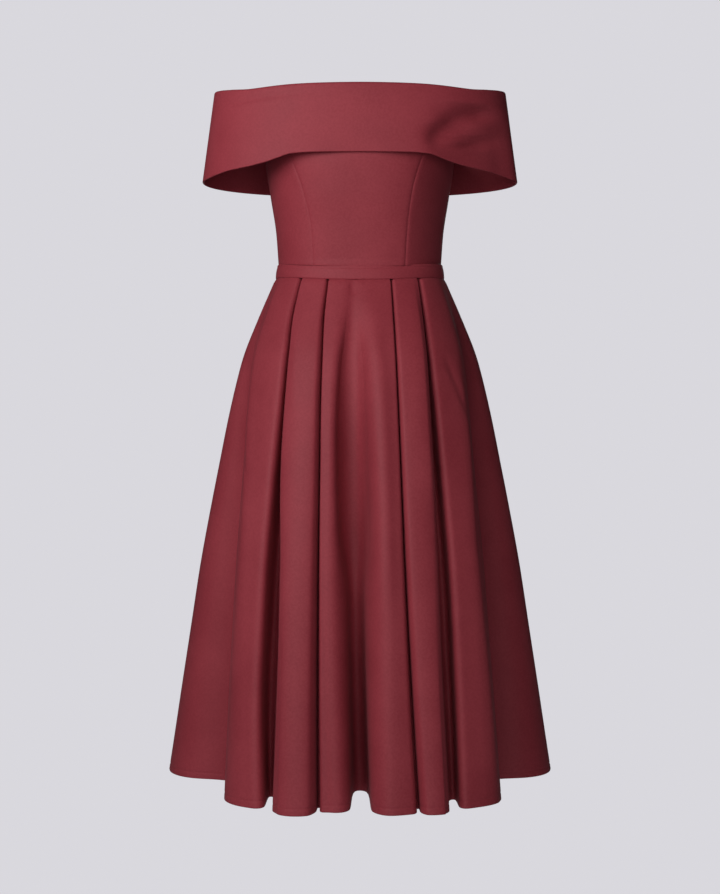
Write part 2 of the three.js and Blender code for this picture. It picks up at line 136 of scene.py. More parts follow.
# %% Recipes
class Recipe:
    """The node tree of a material or of the world, started empty."""

    def __init__(self, holder):
        self.holder = holder
        holder.use_nodes = True
        self.tree = holder.node_tree
        self.tree.nodes.clear()

    def node(self, kind, settings=None, sockets=None, output=0):
        """Makes a node, sets it up, and then fills or links its sockets."""
        made = self.tree.nodes.new(kind)
        for name, value in (settings or {}).items():
            setattr(made, name, value)
        for name, value in (sockets or {}).items():
            if isinstance(value, Wire):
                self.tree.links.new(value.socket, made.inputs[name])
            else:
                made.inputs[name].default_value = value
        return Wire(self, made.outputs[output])

    def mix(self, share, first, second):
        """Mixes two colours."""
        return self.node("ShaderNodeMix", {"data_type": "RGBA"}, {0: share, 6: first, 7: second}, 2)

    def noise(self, scale, detail, roughness=0.5):
        """Random blotches, about as many to the metre as the scale says."""
        spot = self.node("ShaderNodeTexCoord", output="Object")
        sockets = {"Vector": spot, "Scale": scale, "Detail": detail, "Roughness": roughness}
        return self.node("ShaderNodeTexNoise", {}, sockets)

    def cut_map(self):
        """The distances along and up a piece's own cloth, in metres."""
        cut = self.node("ShaderNodeUVMap", {"uv_map": "cut"})
        return [self.node("ShaderNodeSeparateXYZ", {}, {0: cut}, axis) for axis in "XY"]

    def bump(self, strength, metres, height):
        """Raises the look of the surface by a height, where 1 is so many metres."""
        sockets = {"Strength": strength, "Distance": metres, "Height": height}
        return self.node("ShaderNodeBump", {}, sockets)

    def finish(self, surface, kind="ShaderNodeOutputMaterial"):
        """Links the surface to the output and gives back the material or the world."""
        last = self.tree.nodes.new(kind)
        self.tree.links.new(surface.socket, last.inputs["Surface"])
        print("recipe:", self.holder.name, len(self.tree.nodes), "nodes")
        return self.holder

    def principled(self, sockets):
        """Ends a material with the standard shader."""
        return self.finish(self.node("ShaderNodeBsdfPrincipled", {}, sockets))


# %% [markdown]
# ## Floor and light
#
# The dress hangs in front of a plain pale ground, with no horizon and no shadow on it. A wide
# disc lies where the floor under a wearer would be. A Light Path node shows the camera the same
# pale tone on the disc and all round, and lets the lamps see an ordinary matt floor. The key is a
# soft lamp above and to the camera's left: it lights the band and the front of the skirt and
# leaves the far side and the insides of the folds dark. A wide lamp near the camera fills the
# shadows a little, and another behind the dress lights its back, where the camera may also look.

# %% Pale surroundings
pale = (0.695, 0.686, 0.727, 1)
surroundings = 0.012

world = bpy.data.worlds.new("pale_room")
bpy.context.scene.world = world
room = Recipe(world)
to_camera = room.node("ShaderNodeLightPath", output="Is Camera Ray")
lighting = room.node("ShaderNodeBackground", {}, {"Color": pale, "Strength": surroundings})
shown = room.node("ShaderNodeBackground", {}, {"Color": pale})
chosen = room.node("ShaderNodeMixShader", {}, {0: to_camera, 1: lighting, 2: shown})
room.finish(chosen, "ShaderNodeOutputWorld")
bpy.context.scene.view_settings.view_transform = "Standard"

# %% Floor
floor_height = -1.10
floor_radius = 9
floor_sides = 96

floor_mesh = bpy.data.meshes.new("floor")
floor_form = bmesh.new()
bmesh.ops.create_circle(floor_form, cap_ends=True, radius=floor_radius, segments=floor_sides)
floor_form.to_mesh(floor_mesh)
floor_form.free()
floor = placed("floor", floor_mesh)
floor.location.z = floor_height

paint = Recipe(bpy.data.materials.new("pale_floor"))
to_camera = paint.node("ShaderNodeLightPath", output="Is Camera Ray")
matt = paint.node("ShaderNodeBsdfDiffuse", {}, {"Color": pale})
glow = paint.node("ShaderNodeEmission", {}, {"Color": pale})
chosen = paint.node("ShaderNodeMixShader", {}, {0: to_camera, 1: matt, 2: glow})
floor_mesh.materials.append(paint.finish(chosen))

# %% Lamps


def table(columns, *rows):
    """Rows with named columns."""
    return [dict(zip(columns.split(), row)) for row in rows]


# azimuth from the camera's side and height are in degrees, power is in watts, the rest in metres
lamps = table(
    "name azimuth height distance size power aim",
    ("key", -35, 13, 1.62, 1.2, 17.5, 0.24),
    ("fill", 2, 2, 2.9, 2.4, 20.5, -0.12),
    ("back", 176, 16, 3.0, 2.2, 16, -0.1),
)
for row in lamps:
    lamp_data = bpy.data.lights.new(row["name"], "AREA")
    lamp_data.shape = "DISK"
    lamp_data.size = row["size"]
    lamp_data.energy = row["power"]
    lamp = placed(row["name"], lamp_data)
    azimuth, height = math.radians(row["azimuth"]), math.radians(row["height"])
    level = math.cos(height)
    towards = Vector((math.sin(azimuth) * level, -math.cos(azimuth) * level, math.sin(height)))
    offset = towards * row["distance"]
    lamp.location = Vector((0, 0, row["aim"])) + offset
    lamp.rotation_euler = (-offset).to_track_quat("-Z", "Y").to_euler()
    print("lamp:", row["name"], row["power"], "W")

# %% [markdown]
# ## The cloth
#
# The dress is cut from a heavy crepe with a satin face, all in one burgundy. Close up it has a
# fine diagonal rib. The rib could be modelled, but it is far too fine, so a Bump node raises it
# from two sets of lines. Each sewn piece carries a map named "cut", in metres along and up its
# own cloth, so that the rib runs true to the grain of each piece. A soft sheen, set on the
# shader itself, gives the pale bloom of the cloth where it turns away from the eye.

# %% Cloth recipe
# the pitch is in metres, and the second set of lines lies 1.7 times as far apart
rib = {"pitch": 0.0011, "slant": 0.9, "cross": 1.7}


def cloth_material(name, colour, shade, roughness, sheen):
    """Crepe whose brighter tone is the colour and whose duller tone is the shade."""
    recipe = Recipe(bpy.data.materials.new(name))
    along, up = recipe.cut_map()
    twill = (along * rib["slant"] + up).wave(rib["pitch"])
    cross = (along - up * rib["slant"]).wave(rib["pitch"] * rib["cross"])
    slub, cloud, fleck = recipe.noise(900, 2), recipe.noise(9, 3, 0.55), recipe.noise(330, 3)
    tone = cloud.band(0.35, 0.65) * 0.4 + fleck.band(0.3, 0.7) * 0.45 + twill * 0.15
    relief = twill * 0.6 + cross * 0.25 + slub * 0.3
    raised = recipe.bump(0.22, 0.00012, relief)
    sockets = {
        "Base Color": recipe.mix(tone, shade, colour),
        "Roughness": cloud.band(0.3, 0.7) * 0.05 + twill * 0.03 + (roughness - 0.04),
        "Normal": raised,
        "Specular IOR Level": 0.28,
        "Sheen Weight": sheen,
        "Sheen Roughness": 0.6,
        "Sheen Tint": (0.95, 0.45, 0.50, 1),
    }
    return recipe.principled(sockets)


burgundy = (0.352, 0.044, 0.060, 1)
burgundy_shade = (0.272, 0.028, 0.041, 1)
crepe = cloth_material("burgundy_crepe", burgundy, burgundy_shade, roughness=0.62, sheen=0.05)

# %% [markdown]
# ## Curves from short tables
#
# A dress is drafted from a few measures at a few heights. A smooth curve through each column
# of such a table gives every size in between, with no overshoot, so a narrow waist stays
# narrow. The same helper serves the bodice, the band, the skirt and each of its folds.

# %% Smooth curves
tiny = 1e-9


def smooth_through(places, values, at):
    """Smooth curve through values at rising places, read at one place or at an array of them."""
    places, values = np.asarray(places, float), np.asarray(values, float)
    at = np.clip(np.asarray(at, float), places[0], places[-1])
    slopes = np.diff(values) / np.diff(places)
    tangents = np.empty(len(values))
    tangents[0], tangents[-1] = slopes[0], slopes[-1]
    both = slopes[:-1] * slopes[1:]
    total = slopes[:-1] + slopes[1:]
    tangents[1:-1] = np.where(both > 0, 2 * both / np.where(total == 0, 1, total), 0)
    i = np.clip(np.searchsorted(places, at, side="left") - 1, 0, len(places) - 2)
    span = places[i + 1] - places[i]
    t = (at - places[i]) / span
    rise = t * t * (3 - 2 * t)
    start = t * (1 - t) ** 2 * span * tangents[i]
    end = t * t * (1 - t) * span * tangents[i + 1]
    return values[i] + (values[i + 1] - values[i]) * rise + start - end


def lerp(first, second, share):
    return first + (second - first) * share


def unit(vectors):
    """Vectors of length 1 in the same directions."""
    return vectors / np.maximum(np.linalg.norm(vectors, axis=-1, keepdims=True), tiny)


def smoothstep(value, low, high):
    t = np.clip((np.asarray(value, float) - low) / (high - low), 0, 1)
    return t * t * (3 - 2 * t)


print("a curve through 0, 10 and 10, halfway up:", smooth_through([0, 1, 2], [0, 10, 10], 0.5))

# %% [markdown]
# ## Plans round the body
#
# Seen from above, each level of the dress is a rounded oval. Angles run in degrees round the
# body: 0 is centre front, 90 the wearer's left side and 180 centre back. A power above 2 makes
# the oval squarer, as a ribcage is. The helpers turn lengths along the oval into degrees.

# %% Ovals
plan_sides = ("side", "front", "back")


def plan_point(angle, plan):
    """Points of an oval at the angles. plan has side, front, back and power."""
    sine, cosine = np.sin(np.radians(angle)), np.cos(np.radians(angle))
    bend = 2 / plan["power"]
    depth = np.where(cosine > 0, plan["front"], plan["back"])
    x = plan["side"] * np.sign(sine) * np.abs(sine) ** bend
    y = -depth * np.sign(cosine) * np.abs(cosine) ** bend
    return np.stack([x, y], -1)


def angle_at(x, plan):
    """Angle at a distance x from the middle, on the front."""
    share = np.clip(np.abs(x) / plan["side"], 0, 1)
    return np.degrees(np.arcsin(share ** (plan["power"] / 2))) * np.sign(x)


def length_round(plan):
    """Length once round an oval."""
    ring = plan_point(np.linspace(0, 360, 721), plan)
    return round(float(np.linalg.norm(np.diff(ring, axis=0), axis=-1).sum()), 1)


def one_degree(angle, plan):
    """The step along an oval over one degree at an angle."""
    return plan_point(angle + 0.5, plan) - plan_point(angle - 0.5, plan)


def degrees_for(length, angle, plan):
    """Degrees that make a length along the oval, near an angle."""
    return length / np.linalg.norm(one_degree(angle, plan), axis=-1)


def outward(angle, plan):
    """Directions square to the oval at the angles, away from its middle."""
    along = unit(one_degree(angle, plan))
    return np.stack([along[..., 1], -along[..., 0]], -1)


def from_middle(angle):
    """Distance in degrees from the nearer of centre front and back, and whether it is at the back."""
    turned = np.abs((np.asarray(angle, float) + 180) % 360 - 180)
    return np.where(turned > 90, 180 - turned, turned), turned > 90


seam_gap = 0.3


def trimmed(start, stop, plan):
    """The two ends of a piece, each half a seam gap short of its seam."""
    inside = 0.5  # degrees in from a seam, where the oval is measured
    first = start + degrees_for(seam_gap / 2, start + inside, plan)
    return first, stop - degrees_for(seam_gap / 2, stop - inside, plan)


circle = {"side": 100, "front": 100, "back": 100, "power": 2}
print("once round a circle with a radius of 100 mm:", length_round(circle), "mm")

# %% [markdown]
# ## A wall of cloth
#
# Each piece starts as a grid of points over its outer face. Real cloth has thickness and its
# edges are turned in, so the grid is moved inward along its own surface for the inner face,
# and the two are joined by a small round edge. A Solidify modifier would do nearly the same,
# but its edges are square, and a garment shows its edges.

# %% Measures of a grid


def grid_normals(grid):
    """Outward directions of a grid whose rows run up and whose columns run anticlockwise."""
    along = np.gradient(grid, axis=1)
    upward = np.gradient(grid, axis=0)
    return unit(np.cross(along, upward))


def lengths_along(grid, axis):
    """Distance along the cloth from the first point of each row or column."""
    steps = np.linalg.norm(np.diff(grid, axis=axis), axis=-1)
    start = np.zeros_like(np.take(steps, [0], axis=axis))
    return np.concatenate([start, np.cumsum(steps, axis=axis)], axis=axis)


def border_of(rows, columns):
    """Rows and columns of the points round a grid's edge, once round."""
    bottom = [(0, c) for c in range(columns)]
    right = [(r, columns - 1) for r in range(1, rows)]
    top = [(rows - 1, c) for c in range(columns - 2, -1, -1)]
    left = [(r, 0) for r in range(rows - 2, 0, -1)]
    return np.array(bottom + right + top + left)


# %% Wall maker
edge_turns = (45, 90, 135)  # degrees round the edge, from the outer face to the inner one


def cloth_wall(name, outer, inner, material):
    """A closed piece of cloth between two grids of points, in millimetres, with a round edge."""
    rows, columns = outer.shape[:2]
    along = lengths_along(outer, 1)
    up = lengths_along(outer, 0)
    count = rows * columns
    points = [outer.reshape(-1, 3), inner.reshape(-1, 3)]
    cut = [np.stack([along, up], -1).reshape(-1, 2)] * 2
    quads = []
    r, c = np.meshgrid(np.arange(rows - 1), np.arange(columns - 1), indexing="ij")
    a = (r * columns + c).ravel()
    face = np.stack([a, a + 1, a + columns + 1, a + columns], -1)
    quads += [face, face[:, ::-1] + count]
    edge = border_of(rows, columns)
    er, ec = edge[:, 0], edge[:, 1]
    outside = np.zeros((len(edge), 3))
    ends = ((er == 0, 0, 0), (er == rows - 1, -1, 0), (ec == 0, 0, 1), (ec == columns - 1, -1, 1))
    for which, index, axis in ends:
        step = unit(np.take(outer, index, axis) - np.take(outer, 1 if index == 0 else -2, axis))
        outside[which] += step[(ec if axis == 0 else er)[which]]
    outside = unit(outside)
    middle = (outer[er, ec] + inner[er, ec]) / 2
    half = (outer[er, ec] - inner[er, ec]) / 2
    reach = np.linalg.norm(half, axis=-1, keepdims=True)
    rings = [er * columns + ec]
    for i, turn in enumerate(edge_turns):
        bend = math.radians(turn)
        points.append(middle + half * math.cos(bend) + outside * reach * math.sin(bend))
        cut.append(np.stack([along[er, ec], up[er, ec]], -1))
        rings.append(2 * count + i * len(edge) + np.arange(len(edge)))
    rings.append(count + er * columns + ec)
    for first, second in zip(rings, rings[1:]):
        after_first, after_second = np.roll(first, -1), np.roll(second, -1)
        quads.append(np.stack([first, second, after_second, after_first], -1))
    return cloth_mesh(name, np.concatenate(points), np.concatenate(quads), np.concatenate(cut), material)


# %% Piece makers


def smooth_piece(name, points, faces, material):
    """A smooth-shaded object from points in millimetres."""
    mesh = bpy.data.meshes.new(name)
    mesh.from_pydata((np.asarray(points) * MM).tolist(), [], faces)
    mesh.polygons.foreach_set("use_smooth", [True] * len(mesh.polygons))
    mesh.materials.append(material)
    print("piece:", name, sum(len(face) - 2 for face in faces), "triangles")
    return placed(name, mesh)


def cloth_mesh(name, points, quads, cut, material):
    """The mesh of a cloth piece, with the map of its cut."""
    piece = smooth_piece(name + "_cloth", points, quads.tolist(), material)
    layer = piece.data.uv_layers.new(name="cut")
    corners = np.empty(len(piece.data.loops), int)
    piece.data.loops.foreach_get("vertex_index", corners)
    layer.data.foreach_set("uv", (cut[corners] * MM).astype(np.float32).ravel())
    return piece


def shell(name, grid, thickness, material):
    """Cloth of one thickness behind a grid of outer points."""
    return cloth_wall(name, grid, grid - grid_normals(grid) * thickness, material)


def sewn(piece, node):
    """Hangs a piece from the root and hides the solid it stands for."""
    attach(piece, "root")
    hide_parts(node)


# %% [markdown]
# ## The bodice
#
# The bodice is close fitted, so it is cut in seven panels: a front, two side fronts, two side
# backs and two backs. The seams that run over the bust take the shape in. Each panel is drafted
# here between the angles of its two seams. The cloth dips a little at a seam, where the
# allowances are pressed to the inside, and a side front is flatter than the body under it,
# which gives the quick turn at the seam that the photograph shows on its darker side.

# %% Bodice sizes
cloth = 1.6
waistband_height = 18.6
front_dip = 10.5
armhole_from = 46
sewn_to = 78
flare_from = 185
bodice_power = 2.3
bodice_top = {"front": 246, "side": 199, "back": 250}
bodice_table = {
    "height": [19, 69, 123, 178, 246],
    "side": [126, 129.7, 138, 146, 148],
    "front": [95, 103, 114, 121, 114],
    "back": [92, 94, 99, 106, 116],
    "front_right": [70, 73, 85, 106, 128],
    "front_left": [68, 71, 78, 95, 124],
    "back_seam": [62, 64, 70, 80, 92],
}
band_power = 2.15
band_top_plan = {"side": 224.3, "front": 119.8, "back": 121.8, "power": band_power}
roll_radius = 3.2

# %% Bodice outline


def dip_at(angle):
    """The waistline hangs this much lower towards centre front."""
    return front_dip * np.maximum(np.cos(np.radians(angle)), 0) ** 2


def bodice_plan(height):
    heights = bodice_table["height"]
    sizes = {side: smooth_through(heights, bodice_table[side], height) for side in plan_sides}
    return {**sizes, "power": bodice_power}


def middle_top(behind):
    """Height of the bodice's top edge at its middle, where the band is sewn to it."""
    return np.where(behind, bodice_top["back"], bodice_top["front"])


def bodice_top_at(angle):
    turn, behind = from_middle(angle)
    return lerp(middle_top(behind), bodice_top["side"], smoothstep(turn, armhole_from, 90))


def band_leg_depth(x, behind):
    """Depth of the band's inner leg, which the bodice's top edge meets."""
    inset = 2 * roll_radius - cloth / 2
    share = np.minimum(np.abs(x) / (band_top_plan["side"] - inset), 1)
    depth = np.where(behind, band_top_plan["back"], band_top_plan["front"]) - inset
    return depth * (1 - share**band_power) ** (1 / band_power)


def bodice_point(angle, height):
    """Plan point of the bodice, widened in depth towards its sewn top edge."""
    point = plan_point(angle, bodice_plan(height))
    turn, behind = from_middle(angle)
    flare = (1 - smoothstep(turn, armhole_from, sewn_to)) * smoothstep(height, flare_from, middle_top(behind))
    depth = np.sign(point[..., 1]) * band_leg_depth(point[..., 0], behind)
    return np.stack([point[..., 0], lerp(point[..., 1], depth, flare)], -1)


straight_seams = {"side_left": 90, "centre_back": 180, "side_right": 270}
# the column that says how far from the middle a seam lies, the middle's angle and the direction
shaped_seams = {
    "front_right": ("front_right", 0, -1),
    "front_right_from_behind": ("front_right", 360, -1),
    "front_left": ("front_left", 0, 1),
    "back_left": ("back_seam", 180, -1),
    "back_right": ("back_seam", 180, 1),
}


def seam_angle(seam, height):
    if seam in straight_seams:
        return straight_seams[seam]
    column, middle, sign = shaped_seams[seam]
    x = smooth_through(bodice_table["height"], bodice_table[column], height)
    return middle + sign * float(angle_at(x, bodice_plan(height)))


for name, height in (("waist", bodice_table["height"][0]), ("bust", bodice_table["height"][-2])):
    print(name, "round:", length_round(bodice_plan(height)), "mm")

# %% Bodice panels
panel_rows, panel_columns = 56, 34
seam_reach = 2.0
flat_to = 0.82  # above this share of its height a panel is no longer flattened
# flat is how far a panel's middle lies in, and dips how deep its cloth dips at its two seams
panels = table(
    "name from to flat dips",
    ("bodice_front", "front_right", "front_left", 0, (0.35, 0.7)),
    ("bodice_side_front_left", "front_left", "side_left", 6.5, (0.9, 0.5)),
    ("bodice_side_back_left", "side_left", "back_left", 1.5, (0.5, 0.7)),
    ("bodice_back_left", "back_left", "centre_back", 0, (0.7, 0.9)),
    ("bodice_back_right", "centre_back", "back_right", 0, (0.9, 0.7)),
    ("bodice_side_back_right", "back_right", "side_right", 1.5, (0.7, 0.5)),
    ("bodice_side_front_right", "side_right", "front_right_from_behind", 0.5, (0.5, 0.35)),
)


def panel_grid(start, stop, flat, dips):
    """Outer face of a bodice panel between two seams."""
    foot = waistband_height + seam_gap
    rows = []
    for share in np.linspace(0, 1, panel_rows):
        nominal = lerp(foot, bodice_top["front"], share)
        ends = trimmed(seam_angle(start, nominal), seam_angle(stop, nominal), bodice_plan(nominal))
        angles = np.linspace(*ends, panel_columns)
        heights = lerp(foot - dip_at(angles), bodice_top_at(angles), share)
        rows.append(np.concatenate([bodice_point(angles, heights), heights[:, None]], -1))
    grid = np.array(rows)
    along = lengths_along(grid, 1)
    from_seams = (along, along[:, -1:] - along)
    dip = sum(deep * np.exp(-((off / seam_reach) ** 2)) for deep, off in zip(dips, from_seams))
    across = along / along[:, -1:]
    free = 1 - smoothstep(np.linspace(0, 1, panel_rows), flat_to, 1)[:, None]
    sunk = flat * np.sin(math.pi * across) * free
    return grid - grid_normals(grid) * (dip + sunk)[..., None]


for row in panels:
    grid = panel_grid(row["from"], row["to"], row["flat"], row["dips"])
    piece = shell(row["name"], grid, cloth, crepe)
    sewn(piece, row["name"])

# %% [markdown]
# ## The waistband
#
# A narrow band of doubled cloth is set between bodice and skirt, one piece at the front and two
# at the back, where the zip parts them. It stands a little proud of the bodice, and its folded
# upper edge catches the light, so it is made thicker than the cloth and its edges are round.

# %% Waistband
waistband_thickness = 3.2
waistband_plan = {"side": 130.5, "front": 98, "back": 96, "power": 2.1}
waistband_taper = 2.7
waistband_crown = 0.5
edge_line = {"below_top": 3.0, "depth": 0.45, "reach": 0.7}
waistband_rows = 30


def waistband_grid(start, stop, columns):
    rows = []
    angles = np.linspace(*trimmed(start, stop, waistband_plan), columns)
    for share in np.linspace(0, 1, waistband_rows):
        plan = {**waistband_plan}
        crown = waistband_crown * math.sin(math.pi * share)
        for side in plan_sides:
            plan[side] -= waistband_taper * share - crown
        heights = waistband_height * share - dip_at(angles)
        rows.append(np.concatenate([plan_point(angles, plan), heights[:, None]], -1))
    grid = np.array(rows)
    below_top = waistband_height * (1 - np.linspace(0, 1, waistband_rows))
    groove = edge_line["depth"] * np.exp(-(((below_top - edge_line["below_top"]) / edge_line["reach"]) ** 2))
    return grid - grid_normals(grid) * groove[:, None, None]


for name, start, stop, columns in (
    ("waistband_front", -90, 90, 110),
    ("waistband_back_left", 90, 180, 56),
    ("waistband_back_right", 180, 270, 56),
):
    piece = shell(name, waistband_grid(start, stop, columns), waistband_thickness, crepe)
    sewn(piece, name)

# %% [markdown]
# ## The fold-over band
#
# The wide band is one strip of doubled cloth that goes round the chest and both upper arms. It
# is sewn to the bodice inside, rolls over at the top and hangs free to its lower edge, which is
# a fold. It could be draped by simulation, but its shape is simple and the photograph shows it
# plainly, so it is drafted: up the outer leg, over the roll and down the inner leg. A few soft
# hollows are then pressed in where the cloth gives way at the wearer's left arm.

# %% Band sizes
band_thickness = 2.4
band_hem_plan = {"side": 242.3, "front": 127.8, "back": 129.8, "power": band_power}
band_turn_in = 32
band_freeing = 26
band_top_line = {
    "angle": [0, 23, 45, 59, 73, 90, 120, 180],
    "height": [277, 276.5, 274.5, 278, 282.5, 287, 284, 284],
}
band_hem_line = {
    "angle": [0, 15, 23, 28.6, 34, 39.8, 45.5, 52.8, 62, 75, 90, 180],
    "height": [174, 173.8, 172.5, 166.8, 161.5, 158, 155.8, 154, 150.6, 148, 148, 148],
}
outer_rows, roll_rows, inner_rows = 44, 12, 8
# the lower edge of the band settles against the bust
settling = {"depth": 3.4, "reach": 85, "full_at": 176, "none_at": 232}
print("band round at its lower edge:", length_round(band_hem_plan), "mm")

# %% [markdown]
# A crease is a soft trough or ridge along a short path. The path is a few places on the piece,
# and the depth is greatest in its middle and fades out at both ends. The two widths differ, as
# cloth falls steeply on one side of a crease and eases away on the other.

# %% Creases


def crease_depth(row, along, off, fades):
    """Depth of a crease where a point lies so far along it and so far off its middle line."""
    width = np.where(off < 0, row["before"], row["after"])
    share = (along - row["at"][0]) / (row["at"][-1] - row["at"][0])
    whole_from, whole_to, gone_at = fades
    strength = smoothstep(share, 0, whole_from) * (1 - smoothstep(share, whole_to, gone_at))
    return row["depth"] * np.exp(-((off / width) ** 2)) * strength


# line is x from centre front at the heights in at, and a depth below 0 makes a ridge
band_creases = table(
    "at line depth before after fades",
    (
        [170, 193, 206, 217, 227, 234, 245, 256],
        [108, 112, 120, 132.5, 145, 159, 191, 238],
        *(11, 13, 20, (0.5, 0.85, 1)),
    ),
    ([180, 190, 199, 204, 214], [146, 165, 187, 213, 262], 5.2, 9, 15, (0.3, 0.7, 1)),
    ([250, 255, 260, 265], [-222, -190, -152, -120], 1.1, 8, 8, (0.3, 0.7, 1)),
)
crease_fade = (178, 218)  # this far from the middle the band is too taut over the arm for a crease
# past this line the band turns back over the wearer's left arm, by a slope up to a greatest depth
turned_back = {
    "at": [146, 184, 197, 211, 223, 234, 243, 254, 266],
    "line": [96, 102, 107, 116, 129, 144, 160, 196, 236],
    "slope": 0.38,
    "soft": 11,
    "most": 29,
    "lift": 0.1,
    "clear_of_bust": (60, 120),
    "none_above": (236, 258),
    "side_seam": (56, 92),
}


def band_crease(row, height, x):
    """Depth of one of the band's creases, with its width measured square to its line."""
    middle, above, below = (smooth_through(row["at"], row["line"], height + k) for k in (0, 1, -1))
    off = (x - middle) / np.hypot(1, (above - below) / 2)
    return crease_depth(row, height, off, row["fades"])


def turned_depth(x, height, angle):
    """How far back the front of the band lies at each point, for its turn over the arm."""
    middle, above = (smooth_through(turned_back["at"], turned_back["line"], height + k) for k in (0, 1))
    off = (x - middle) / np.hypot(1, above - middle)
    past = (np.hypot(off, turned_back["soft"]) + off) / 2
    depth = turned_back["most"] * np.tanh(past * turned_back["slope"] / turned_back["most"])
    below_top = 1 - smoothstep(height, *turned_back["none_above"])
    fades = below_top * (1 - smoothstep(angle, *turned_back["side_seam"]))
    return depth * fades * smoothstep(x, *turned_back["clear_of_bust"])


print("creases on the band:", len(band_creases))

# %% The band's pieces


def band_level(table, angle):
    turn, behind = from_middle(angle)
    return smooth_through(table["angle"], table["height"], np.where(behind, 180 - turn, turn))


def band_grids(start, stop, columns, creases=()):
    """Outer and inner face of a length of the band."""
    angles = np.linspace(*trimmed(start, stop, band_hem_plan), columns)
    top_middle = band_level(band_top_line, angles) - band_thickness / 2 - roll_radius
    hem = band_level(band_hem_line, angles)
    if creases:
        hem = hem + turned_back["lift"] * turned_depth(plan_point(angles, band_hem_plan)[:, 0], hem, angles)

    def ring(share):
        plan = {side: lerp(band_top_plan[side], band_hem_plan[side], share) for side in plan_sides}
        plan["power"] = band_power
        return plan_point(angles, plan), outward(angles, plan)

    rows = []
    for share in np.linspace(1, 0, outer_rows)[:-1]:
        line, away = ring(share)
        height = lerp(top_middle, hem, share)
        sunk = sum((band_crease(row, height, line[:, 0]) for row in creases), np.zeros(columns))
        sunk = sunk * (1 - smoothstep(np.abs(line[:, 0]), *crease_fade))
        settles = 1 - smoothstep(height, settling["full_at"], settling["none_at"])
        if creases:
            sunk = sunk + settling["depth"] * np.exp(-((line[:, 0] / settling["reach"]) ** 2)) * settles
            line[:, 1] += turned_depth(line[:, 0], height, angles)
        rows.append((line - away * sunk[:, None], away, height, 0.0))
    line, away = ring(0)
    for tilt in np.linspace(0, math.pi, roll_rows):
        centre = line + away * roll_radius * (math.cos(tilt) - 1)
        rows.append((centre, away, top_middle + roll_radius * math.sin(tilt), tilt))
    _, behind = from_middle(angles)
    sewn_edge = middle_top(behind) + seam_gap
    free_edge = top_middle - band_turn_in + roll_radius
    centre = line - 2 * roll_radius * away
    armhole_edge = abs(plan_point(armhole_from, bodice_plan(bodice_top["front"]))[0])
    free = smoothstep(np.abs(centre[:, 0]), armhole_edge, armhole_edge + band_freeing)
    foot = lerp(sewn_edge, np.maximum(free_edge, sewn_edge), free)
    for share in np.linspace(0, 1, inner_rows + 1)[1:]:
        rows.append((centre, away, lerp(top_middle, foot, share), math.pi))
    faces = []
    for half in (band_thickness / 2, -band_thickness / 2):
        grid = []
        for middle, way, height, tilt in rows:
            flat = middle + half * way * math.cos(tilt)
            grid.append(np.concatenate([flat, (height + half * math.sin(tilt))[:, None]], -1))
        faces.append(np.array(grid))
    return faces


for name, start, stop, columns, creases in (
    ("band_front", -90, 90, 170, band_creases),
    ("band_back_left", 90, 180, 80, ()),
    ("band_back_right", 180, 270, 80, ()),
):
    piece = cloth_wall(name, *band_grids(start, stop, columns, creases), crepe)
    sewn(piece, name)

# %% [markdown]
# ## The skirt
#
# The skirt is cut wide and folded into the waistband. Two pressed pleats on each side of the
# front open from the waist into deep slots, a soft hollow runs down the middle, and the sides
# fall in broad round folds. Simulated cloth would never fall into just these folds, so each
# fold is a row of a table, with one value for each of the depths below the waist that are named
# above the table. "from" and "to" are degrees round the body: the two edges of a pressed fold's
# slot, or the whole width of a soft fold. "depth" is how far in it goes, in millimetres. The
# "rolls" are the rounded sides of a pressed fold, left and then right, at the waist and the hem.
# A soft fold has half its floor's width as "bottom", the share of its sides that lies before the
# floor as "first_share", and how steeply they turn in as "steepness". It runs in towards the
# middle of the skirt unless it is "straight", as every pressed fold is. The cloth after a fold
# bulges out by its "puff" and lies "back" by that much, at the hem, and less higher up. One
# number alone holds at every depth, and a "puff" or "back" that isn't given is none.

# %% Skirt sizes
skirt_length = 758.5
dip_fade = 200
skirt_depths = {"front": (98, 300), "back": (96, 296)}
skirt_table = {
    "drop": [0, 67, 120, 159, 218, 286, 343, 441, 538, 636, 701, 758.5],
    "side": [130.5, 159.5, 180.3, 191, 204.5, 218, 229.2, 247.2, 262, 277, 286.7, 295.5],
}

